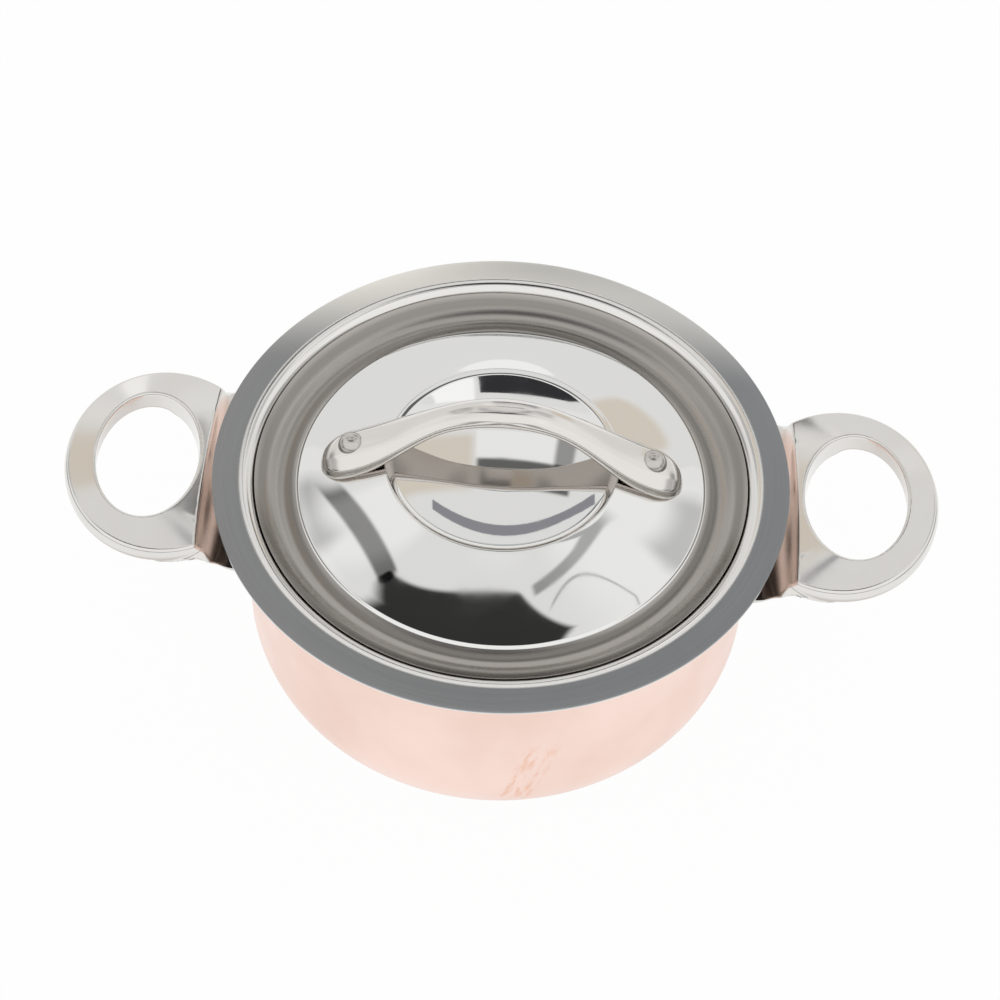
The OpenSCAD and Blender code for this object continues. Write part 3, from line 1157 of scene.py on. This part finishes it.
@dataclass
class Grip:
    """Arched grip whose ends follow the dome, and the two rivets that hold it."""

    lid: Lid
    inset: float = 7.7
    height: float = 33.4
    low_h: float = 7.0
    runout: float = 0.4
    arch_power: float = 1.12
    thick: float = 5.6
    end_t: float = 8.9
    width: float = 11.2
    end_w: float = 19.5
    tip: float = 10.0
    swell_start: float = 0.36
    crown: float = 0.6
    mid_crown: float = 2.2
    mid_power: float = 1.5
    top_share: float = 0.5
    mid_top_share: float = 0.46
    under_share: float = 0.9
    side_shares: tuple = (0.25, 0.6)
    bevel_share: float = 0.15
    soft: float = 0.32
    tip_soft_share: float = 0.2
    bury: float = 0.3
    end_share: float = 0.9995
    count: int = 72
    steps: int = 110
    fineness: int = 6
    soft_reach: int = 12
    rivet_inset: float = 13.2
    head_d: float = 9.0
    head_t: float = 3.4
    head_sink: float = 0.4
    shank_d: float = 5.0
    tail_d: float = 8.0
    tail_t: float = 1.2

    def __post_init__(self) -> None:
        """Works out the grip's lengths along the lid."""
        self.half = self.lid.dome_r - self.inset
        self.run = self.half + self.runout
        self.tip_x = self.half - self.tip
        self.rivet_x = self.half - self.rivet_inset

    def face(self, x: Array) -> Array:
        """Height of the grip's upper face above the rim at each distance from the middle."""
        way = np.pi * (x / self.run) ** self.arch_power
        return self.low_h + (self.height - self.low_h) * (1 + np.cos(way)) / 2

    def outline(self, d: float, tip: float) -> Array:
        """Closed section of the grip with sharp corners.

        Args:
            d: Distance from the middle.
            tip: Share of its width and height that the rounded end leaves.

        Returns:
            Points of the section, heights above the rim.
        """
        t = min(max((d / self.rivet_x - self.swell_start) / (1 - self.swell_start), 0.0), 1.0)
        swell = t * t * (3 - 2 * t)
        mid = max(1 - d / self.rivet_x, 0.0) ** self.mid_power
        half = (self.width + (self.end_w - self.width) * swell) * tip / 2
        seat, face = float(self.lid.face(d)), float(self.face(d))
        top = face if d < self.tip_x else seat + (face - seat) * tip
        low = face - self.thick - (self.end_t - self.thick) * swell
        if d >= self.rivet_x:
            low = min(face - self.end_t, seat - self.lid.thick)
        crown = (self.crown + (self.mid_crown - self.crown) * mid) * tip
        share = self.top_share + self.mid_top_share * mid
        low_side, high_side = (low + (top - crown - low) * level for level in self.side_shares)
        right = [(half * self.under_share, low), (half, low_side),
                 (half * (1 - (1 - share) * self.bevel_share), high_side),
                 (half * share, top - crown), (half * share / 2, top - crown / 4)]
        left = [(-y, z) for y, z in right[::-1]]
        return np.array(right + [(0.0, top)] + left + right[:1])

    def section(self, x: float) -> Array:
        """Closed section of the grip with soft corners.

        Args:
            x: Distance from the middle, with its sign.

        Returns:
            Points of the section, heights above the rim.
        """
        over = abs(x) - self.tip_x
        tip = 1.0 if over < 0 else math.sqrt(max(1 - (over / self.tip) ** 2, 0))
        loop = self.outline(abs(x), tip)
        run = run_of(loop)
        total = self.fineness * self.count
        fine = points_at(loop, run, np.linspace(0, run[-1], total, endpoint=False))
        soft = self.soft * max(tip, self.tip_soft_share)
        steps, weights = bell(self.soft_reach, soft * total / run[-1])
        return sum(w * np.roll(fine, s, 0) for w, s in zip(weights, steps))[::self.fineness]

    def build(self) -> bpy.types.Object:
        """Builds the arched grip, its ends following the dome.

        Returns:
            The piece.
        """
        rows = []
        for i in range(-self.steps, self.steps + 1):
            x = self.end_share * self.half * math.sin(math.pi / 2 * i / self.steps)
            y, z = self.section(x).T
            z = np.maximum(z, self.lid.face(np.hypot(x, y)) - self.bury) + self.lid.pan.height
            rows.append(np.stack([np.full(self.count, x), y, z], 1))
        rings = np.array(rows)
        return place_piece("lid_arch_grip", *skin(rings, [rings[0].mean(0), rings[-1].mean(0)]))

    def build_rivets(self) -> bpy.types.Object:
        """Builds the two rivets of the grip.

        Returns:
            The piece.
        """
        lid, x = self.lid, self.rivet_x
        seat = float(self.face(x) - lid.face(x)) * math.cos(math.radians(lid.slope)) - self.head_sink
        rivet = Rivet(self.head_d, self.head_t, self.shank_d, seat + lid.thick, self.tail_d, self.tail_t)
        foot = Matrix.Translation((x, 0, lid.pan.height + float(lid.face(x))))
        lean = Matrix.Rotation(math.radians(lid.slope), 4, "Y")
        lift = Matrix.Translation((0, 0, seat))
        parts = [rivet.build(Matrix.Rotation(turn, 4, "Z") @ foot @ lean @ lift)
                 for turn in (0.0, math.pi)]
        return place_piece("lid_rivet_pair", *join_parts(parts))

    def make(self) -> None:
        """Builds and dresses the grip and its rivets."""
        cast = CastFinish("grip_steel", (0.79, 0.77, 0.745), 0.15).make()
        # The lid rivets' steel is darker than the wall rivets', partly the steel's own tone and partly
        # painted reflection of dark surroundings.
        rivet = RivetFinish("lid_rivet_steel", (0.56, 0.53, 0.51), 0.20).make()
        dress(self.build(), cast, Body.LID, Slot.CAST, "lid_grip")
        dress(self.build_rivets(), rivet, Body.LID, Slot.RIVET, "lid_rivets")


# The studio


@dataclass(frozen=True)
class Panel:
    """Straight panel of the surround, over its whole width where no side is given.

    Degrees, and a tone that it adds.
    """

    tone: float
    arch: Band
    side: Band = (-91.0, 91.0, 1.0)

    def on(self, arch: Value, side: Value) -> Value:
        """What the panel adds in each direction."""
        return arch.band(*self.arch) * side.band(*self.side) * self.tone


@dataclass(frozen=True)
class Stripe:
    """Curved stripe of the surround, part of an oval's edge. Degrees, and a tone that it adds.

    Its width is in shares of the oval's half lengths along side and arch.
    """

    tone: float
    centre: tuple
    halves: tuple
    width: Band
    side: Fade
    arch: Optional[Fade] = None

    def on(self, arch: Value, side: Value) -> Value:
        """What the stripe adds in each direction.

        Args:
            arch: The directions' arch.
            side: The directions' side.

        Returns:
            The addition.
        """
        across, along = (side - self.centre[0]) / self.halves[0], (arch - self.centre[1]) / self.halves[1]
        mask = ((across * across + along * along) ** 0.5).band(*self.width) * side.step(*self.side)
        return (mask * arch.step(*self.arch) if self.arch else mask) * self.tone


@dataclass(frozen=True)
class Surround:
    """White tent round the object, with the lights and dark gaps that the steel mirrors.

    Directions are in degrees: arch runs from the front horizon over the top to the back
    one, and side from the middle to the right. Tones are shares of white. The room is
    the dark gap overhead that the front of the dome mirrors. Its near edge bends and
    its right edge slants. The crown's panels show in the lid's raised middle.
    """

    tent: float = 0.835
    front_tone: float = 0.165
    front_arch: Fade = (79.0, 70.0)
    box_tone: float = 0.12
    right_side: Fade = (14.0, 30.0)
    right_arch: Band = (70.0, 135.0, 10.0)
    left_side: Fade = (-28.0, -34.0)
    left_arch: Band = (80.0, 125.0, 10.0)
    room_tone: float = -0.80
    room_bend: float = 0.0178
    room_near: Fade = (79.8, 80.8)
    room_far: Fade = (98.0, 94.0)
    room_left: Fade = (-28.0, -26.5)
    room_slant: float = 0.88
    room_right: Fade = (-63.6, -65.0)
    left_stripe: Stripe = Stripe(-0.66, (-20, 120), (19, 28), (0.93, 1.06, 0.03),
                                 (-25.5, -27.5), (134, 126))
    right_stripe: Stripe = Stripe(-0.50, (8.5, 114.6), (1, 1), (31.8, 33.4, 0.5), (10, 12), (116, 100))
    thin_stripe: Stripe = Stripe(-0.45, (16.5, 97.3), (1, 1), (11.4, 11.8, 0.2), (12, 16))
    crown_gap: Panel = Panel(-0.70, (119.6, 127.2, 1.2), (-5.2, 12.0, 1.0))
    crown_light: Panel = Panel(0.10, (127.4, 135.2, 0.5), (-5.4, 8.3, 0.5))
    crown_post: Panel = Panel(-0.50, (127.0, 135.5, 1.0), (8.7, 12.0, 1.0))
    right_gap: Panel = Panel(-0.35, (112.0, 134.0, 6.0), (22.0, 36.0, 4.0))
    left_gap: Panel = Panel(-0.35, (112.0, 134.0, 6.0), (-36.0, -24.0, 4.0))
    back_light: Panel = Panel(0.06, (137.0, 144.0, 1.0))
    back_window: Panel = Panel(0.25, (144.2, 153.0, 1.0), (-12.0, -5.7, 0.5))
    foot_tone: float = -0.60
    foot_arch: Fade = (16.0, 8.0)
    foot_y: Fade = (-0.1, -0.3)
    wing_tone: float = -0.45
    wing_side: Fade = (52.0, 62.0)
    wing_z: Fade = (0.4, 0.2)
    tent_colour: Colour = (1.0, 0.995, 0.985)
    warm_colour: Colour = (0.88, 0.80, 0.70)
    left_warm: Panel = Panel(1.0, (119.0, 134.0, 3.0), (-21.0, -6.0, 2.0))
    right_warm_slant: float = 0.6
    right_warm: Band = (120.5, 132.0, 2.0)
    right_warm_arch: Band = (151.0, 175.0, 4.0)
    right_warm_side: Fade = (18.0, 21.0)

    def lights(self, arch: Value, side: Value) -> Value:
        """Tone of the tent with its soft boxes.

        Args:
            arch: The directions' arch.
            side: The directions' side.

        Returns:
            The tone.
        """
        tone = self.tent + arch.step(*self.front_arch) * self.front_tone
        right = side.step(*self.right_side) * arch.band(*self.right_arch)
        left = side.step(*self.left_side) * arch.band(*self.left_arch)
        return tone + (right + left) * self.box_tone

    def room(self, arch: Value, side: Value) -> Value:
        """What the dark room overhead adds to the tone.

        Args:
            arch: The directions' arch.
            side: The directions' side.

        Returns:
            The addition.
        """
        near = (arch - side * side * self.room_bend).step(*self.room_near)
        right = (side - arch * self.room_slant).step(*self.room_right)
        return near * arch.step(*self.room_far) * side.step(*self.room_left) * right * self.room_tone

    def warmth(self, arch: Value, side: Value) -> Value:
        """Mask of the two warm patches.

        Args:
            arch: The directions' arch.
            side: The directions' side.

        Returns:
            The mask.
        """
        slanted = (side + arch * self.right_warm_slant).band(*self.right_warm)
        right = slanted * arch.band(*self.right_warm_arch) * side.step(*self.right_warm_side)
        return self.left_warm.on(arch, side).most(right)

    def make(self) -> None:
        """Builds the surround, which the camera sees as plain white."""
        world = bpy.data.worlds.new("studio")
        bpy.context.scene.world = world
        g = Graph(world)
        x, y, z = g.split(g.node("ShaderNodeTexCoord", output="Generated"))
        arch = z.angle_to(0 - y) * DEGREES
        side = x.arcsine() * DEGREES
        tone = self.lights(arch, side) + self.room(arch, side)
        for part in (self.left_stripe, self.right_stripe, self.thin_stripe, self.crown_gap,
                     self.crown_light, self.crown_post, self.right_gap, self.left_gap,
                     self.back_light, self.back_window):
            tone = tone + part.on(arch, side)
        tone = tone + arch.step(*self.foot_arch) * y.step(*self.foot_y) * self.foot_tone
        wings = side.step(*self.wing_side) + (0 - side).step(*self.wing_side)
        tone = tone + wings * z.step(*self.wing_z) * self.wing_tone
        colour = g.mix(self.warmth(arch, side), self.tent_colour, self.warm_colour)
        colour = g.mix(g.ray(Ray.CAMERA), g.scaled(colour, tone.most(0.0)), WHITE)
        sky = g.node("ShaderNodeBackground", values={"Color": colour, "Strength": 1.0})
        g.node("ShaderNodeOutputWorld", values={"Surface": sky})


def plain_mesh(name: str, points: Sequence[tuple], faces: Sequence[tuple]) -> bpy.types.Object:
    """Adds a flat-faced object for the studio.

    Args:
        name: Name of the object.
        points: Its points in metres.
        faces: Corner numbers of its faces.

    Returns:
        The object.
    """
    mesh = bpy.data.meshes.new(name)
    mesh.from_pydata(points, [], faces)
    thing = bpy.data.objects.new(name, mesh)
    bpy.context.scene.collection.objects.link(thing)
    return thing


@dataclass(frozen=True)
class Floor:
    """White floor that keeps a faint shadow. Metres."""

    half: float = 3.0
    drop: float = 0.0003
    paper: Colour = (0.9, 0.9, 0.9)
    glow_share: float = 0.965

    def make(self) -> None:
        """Lays the floor."""
        a = self.half
        points = [(-a, -a, 0), (a, -a, 0), (a, a, 0), (-a, a, 0)]
        floor = plain_mesh("floor", points, [(0, 1, 2, 3)])
        floor.location.z = -self.drop
        g = Graph(bpy.data.materials.new("white_floor"))
        paper = g.node("ShaderNodeBsdfDiffuse", values={"Color": self.paper})
        glow = g.node("ShaderNodeEmission", values={"Color": WHITE, "Strength": 1.0})
        seen = g.ray(Ray.CAMERA).most(g.ray(Ray.GLOSSY))
        surface = g.node("ShaderNodeMixShader", values={0: seen * self.glow_share, 1: paper, 2: glow})
        g.node("ShaderNodeOutputMaterial", values={"Surface": surface})
        floor.data.materials.append(g.owner)


@dataclass(frozen=True)
class Cards:
    """Two dark cards over the lid that only reflections show.

    The front card is curved: seen from the edge of the lid's raised middle, it lies
    between two arches that bend with the side. Millimetres and degrees.
    """

    back_x: tuple = (-29.0, 85.0)
    back_y: float = 223.0
    back_z: tuple = (196.0, 230.0)
    back_shade: float = 0.035
    front_sides: range = range(-13, 18, 2)
    front_arches: tuple = (107.2, 110.6)
    front_bend: float = 0.04
    front_away: float = 220.0
    front_shade: float = 0.28
    middle_r: float = 33.0
    middle_z: float = 99.0
    middle_turn: float = 1.75
    blue: float = 1.1

    def hang(self, name: str, near: list, far: list, shade: float) -> None:
        """Hangs a card.

        Args:
            name: Name of the card.
            near: Points of one long edge.
            far: Points of the other one, as many.
            shade: Tone of the card.
        """
        count = len(near)
        faces = [(i, i + 1, count + i + 1, count + i) for i in range(count - 1)]
        card = plain_mesh(name, [tuple(v * MM for v in point) for point in near + far], faces)
        card.visible_camera = card.visible_diffuse = card.visible_shadow = False
        g = Graph(bpy.data.materials.new(name))
        colour = (shade, shade, shade * self.blue)
        felt = g.node("ShaderNodeEmission", values={"Color": colour, "Strength": 1.0})
        g.node("ShaderNodeOutputMaterial", values={"Surface": felt})
        card.data.materials.append(g.owner)

    def front_edge(self, arch: float) -> list:
        """One long edge of the front card.

        Args:
            arch: Arch of the edge at side 0.

        Returns:
            The edge's points.
        """
        edge = []
        for side in self.front_sides:
            turn, lean = math.radians(side), math.radians(arch + side * side * self.front_bend)
            flat = math.cos(turn)
            way = Vector((math.sin(turn), -flat * math.cos(lean), flat * math.sin(lean)))
            x = side * self.middle_turn
            foot = Vector((x, -math.sqrt(self.middle_r ** 2 - x * x), self.middle_z))
            edge.append(foot + self.front_away * way)
        return edge

    def make(self) -> None:
        """Hangs both cards."""
        near, far = ([(x, self.back_y, z) for x in self.back_x] for z in self.back_z)
        self.hang("back_card", near, far, self.back_shade)
        near, far = (self.front_edge(arch) for arch in self.front_arches)
        self.hang("front_card", near, far, self.front_shade)


@dataclass(frozen=True)
class PhotoCamera:
    """Camera where the photograph was taken from. Metres, degrees, and the lens in millimetres."""

    distance: float = 0.8
    elevation: float = 51.07
    yaw: float = -1.09
    roll: float = 2.62
    aim_z: float = 0.094
    lens: float = 83.04
    sensor: float = 36.0
    shift: tuple = (-0.0018, -0.0313)
    clip: tuple = (0.01, 50.0)

    def make(self) -> None:
        """Sets up the camera."""
        e, a, t = (math.radians(v) for v in (self.elevation, self.yaw, self.roll))
        back = Vector((-math.sin(a) * math.cos(e), -math.cos(a) * math.cos(e), math.sin(e)))
        right = Vector((math.cos(a), -math.sin(a), 0.0))
        up = back.cross(right)
        across = math.cos(t) * right + math.sin(t) * up
        upright = -math.sin(t) * right + math.cos(t) * up
        data = bpy.data.cameras.new("camera")
        data.lens, data.sensor_width = self.lens, self.sensor
        data.shift_x, data.shift_y = self.shift
        data.clip_start, data.clip_end = self.clip
        camera = bpy.data.objects.new("camera", data)
        bpy.context.scene.collection.objects.link(camera)
        place = Vector((0, 0, self.aim_z)) + self.distance * back
        turned = Matrix((across, upright, back)).transposed()
        camera.matrix_world = Matrix.Translation(place) @ turned.to_4x4()
        bpy.context.scene.camera = camera


class Studio:
    """Camera, white floor, surround and dark cards."""

    def make(self) -> None:
        """Builds them in order."""
        for part in (PhotoCamera(), Floor(), Surround(), Cards()):
            part.make()
        bpy.context.scene.view_settings.view_transform = "Standard"


def main() -> None:
    """Builds every sub-assembly."""
    logging.basicConfig(level=logging.INFO, format="%(name)s: %(message)s")
    pan = Pan()
    lid = Lid(pan)
    for part in (Studio(), pan, LoopHandle(pan), WallRivets(pan), lid, Grip(lid)):
        part.make()
        LOG.info("%s is done", type(part).__name__)


if __name__ == "__main__":
    main()
